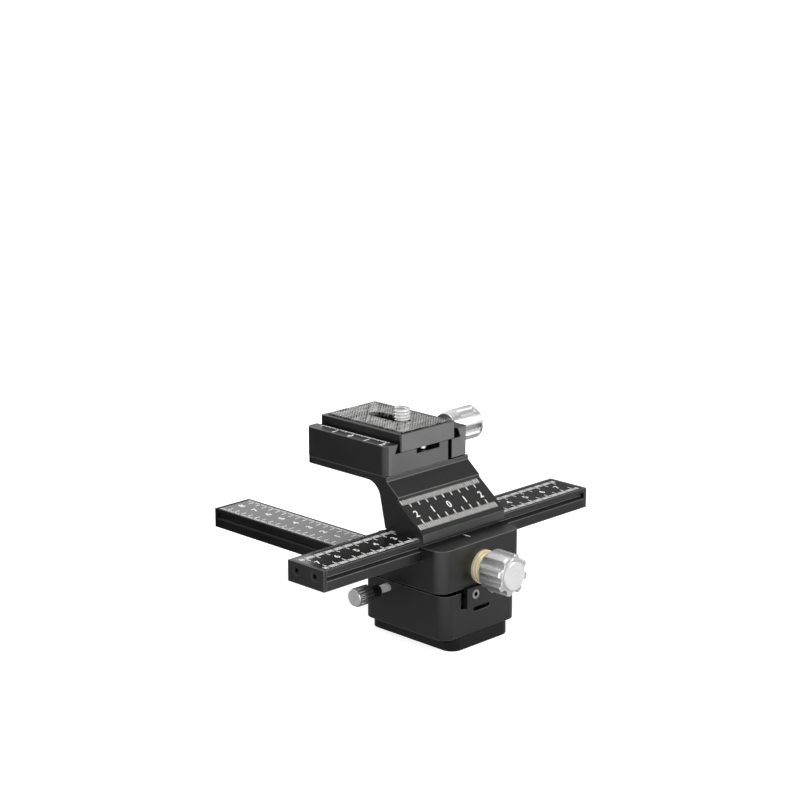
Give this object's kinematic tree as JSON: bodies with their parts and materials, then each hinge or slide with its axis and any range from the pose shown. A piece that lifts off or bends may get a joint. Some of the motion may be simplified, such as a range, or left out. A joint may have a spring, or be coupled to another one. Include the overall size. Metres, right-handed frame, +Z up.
{
  "type": "macro focusing rail",
  "caption": "Two-way macro focusing rail: crossed rack-driven rails with drive and lock knobs, a slanted riser and a dovetail quick release clamp.",
  "frame": {"origin": "mouth of the tripod socket, in the middle of the foot's underside", "axes": "+X along the upper rail towards the clamp knob, +Y along the lower rail towards its far end, +Z up"},
  "size_m": [0.15, 0.1659, 0.0882],
  "materials": {
    "black_anodised": "satin black anodised",
    "scale_print": "satin black with white print",
    "clear_anodised": "clear anodised, turned",
    "gunmetal": "dark nickel plated",
    "brass": "turned",
    "steel": "bright",
    "nylon": "natural",
    "rubber": "fine ribbed"
  },
  "bodies": {
    "base": {"base_foot": "black_anodised", "tripod_insert": "steel", "foot_screws": "steel", "lower_block": "black_anodised", "lower_gib": "black_anodised", "lower_drive_bushing": "brass"},
    "lower_lock_pad": {"lower_lock_pad": "nylon"},
    "lower_lock": {"lower_lock_screw": "steel", "lower_lock_collar": "black_anodised", "lower_lock_knob": "gunmetal", "lower_lock_disc": "clear_anodised"},
    "lower_drive": {"lower_drive_knob": "clear_anodised", "lower_drive_disc": "clear_anodised", "lower_pinion_shaft": "steel", "lower_knob_set_screw": "steel"},
    "lower_carriage": {"lower_rail": "black_anodised", "lower_scale_plate": "scale_print", "lower_rack": "steel", "lower_front_cap": "black_anodised", "lower_rear_cap": "black_anodised", "lower_cap_screws": "steel", "middle_block": "black_anodised", "block_screws": "steel", "upper_gib": "black_anodised", "upper_gib_screws": "steel", "upper_drive_bushing": "brass"},
    "upper_lock_pad": {"upper_lock_pad": "nylon"},
    "upper_lock": {"upper_lock_screw": "steel", "upper_lock_knob": "black_anodised", "upper_lock_disc": "black_anodised"},
    "upper_drive": {"upper_drive_knob": "clear_anodised", "upper_drive_disc": "clear_anodised", "upper_pinion_shaft": "steel", "upper_knob_set_screw": "steel"},
    "upper_carriage": {"upper_rail": "black_anodised", "upper_scale_plate": "scale_print", "upper_rack": "steel", "upper_left_cap": "black_anodised", "upper_right_cap": "black_anodised", "upper_cap_screws": "steel", "riser_bracket": "black_anodised", "riser_scale_plate": "scale_print", "bracket_screws": "steel", "clamp_body": "black_anodised", "clamp_bolts": "steel", "jaw_guide_pins": "steel"},
    "jaw": {"clamp_jaw": "black_anodised"},
    "clamp_turner": {"clamp_knob": "clear_anodised", "clamp_knob_disc": "clear_anodised", "clamp_screw": "steel", "clamp_washer": "steel"},
    "plate": {"quick_release_plate": "black_anodised", "rubber_pad": "rubber", "plate_stop_screws": "steel"},
    "screw_carrier": {"screw_retainer": "nylon"},
    "camera_fixing": {"camera_screw": "steel"}
  },
  "joints": [
    {"name": "lower_slide", "type": "slide", "parent": "base", "child": "lower_carriage", "axis": [0, 1, 0], "range_m": [-0.1018, 0]},
    {"name": "lower_drive_turn", "type": "hinge", "parent": "base", "child": "lower_drive", "pos_m": [0, 0.011, 0.0112], "axis": [1, 0, 0], "range_deg": [0, 1460]},
    {"name": "lower_lock_travel", "type": "slide", "parent": "base", "child": "lower_lock_pad", "axis": [-1, 0, 0], "range_m": [0, 0.0014]},
    {"name": "lower_lock_turn", "type": "hinge", "parent": "lower_lock_pad", "child": "lower_lock", "pos_m": [-0.03, 0.011, 0.0206], "axis": [-1, 0, 0], "range_deg": [0, 720]},
    {"name": "upper_slide", "type": "slide", "parent": "lower_carriage", "child": "upper_carriage", "axis": [1, 0, 0], "range_m": [-0.0502, 0.0502]},
    {"name": "upper_drive_turn", "type": "hinge", "parent": "lower_carriage", "child": "upper_drive", "pos_m": [0, -0.03, 0.0316], "axis": [0, 1, 0], "range_deg": [-720, 720]},
    {"name": "upper_lock_travel", "type": "slide", "parent": "lower_carriage", "child": "upper_lock_pad", "axis": [0, 1, 0], "range_m": [0, 0.0014]},
    {"name": "upper_lock_turn", "type": "hinge", "parent": "upper_lock_pad", "child": "upper_lock", "pos_m": [-0.0036, 0.03, 0.0316], "axis": [0, 1, 0], "range_deg": [0, 720]},
    {"name": "jaw_slide", "type": "slide", "parent": "upper_carriage", "child": "jaw", "axis": [1, 0, 0], "range_m": [0, 0.0028]},
    {"name": "clamp_knob_turn", "type": "hinge", "parent": "jaw", "child": "clamp_turner", "pos_m": [0.045, 0.0322, 0.0708], "axis": [1, 0, 0], "range_deg": [0, 1440]},
    {"name": "plate_slide", "type": "slide", "parent": "upper_carriage", "child": "plate", "axis": [0, 1, 0], "range_m": [-0.02, 0.02]},
    {"name": "camera_screw_slide", "type": "slide", "parent": "plate", "child": "screw_carrier", "axis": [0, 1, 0], "range_m": [0, 0.0142]},
    {"name": "camera_screw_turn", "type": "hinge", "parent": "screw_carrier", "child": "camera_fixing", "pos_m": [0, 0.02371, 0.08], "axis": [0, 0, 1], "continuous": true}
  ],
  "couplings": [
    {"joint": "lower_drive_turn", "follows": "lower_slide", "rad_per_m": -250},
    {"joint": "upper_drive_turn", "follows": "upper_slide", "rad_per_m": 250},
    {"joint": "lower_lock_turn", "follows": "lower_lock_travel", "rad_per_m": 8976},
    {"joint": "upper_lock_turn", "follows": "upper_lock_travel", "rad_per_m": 8976},
    {"joint": "clamp_knob_turn", "follows": "jaw_slide", "rad_per_m": 8976}
  ]
}
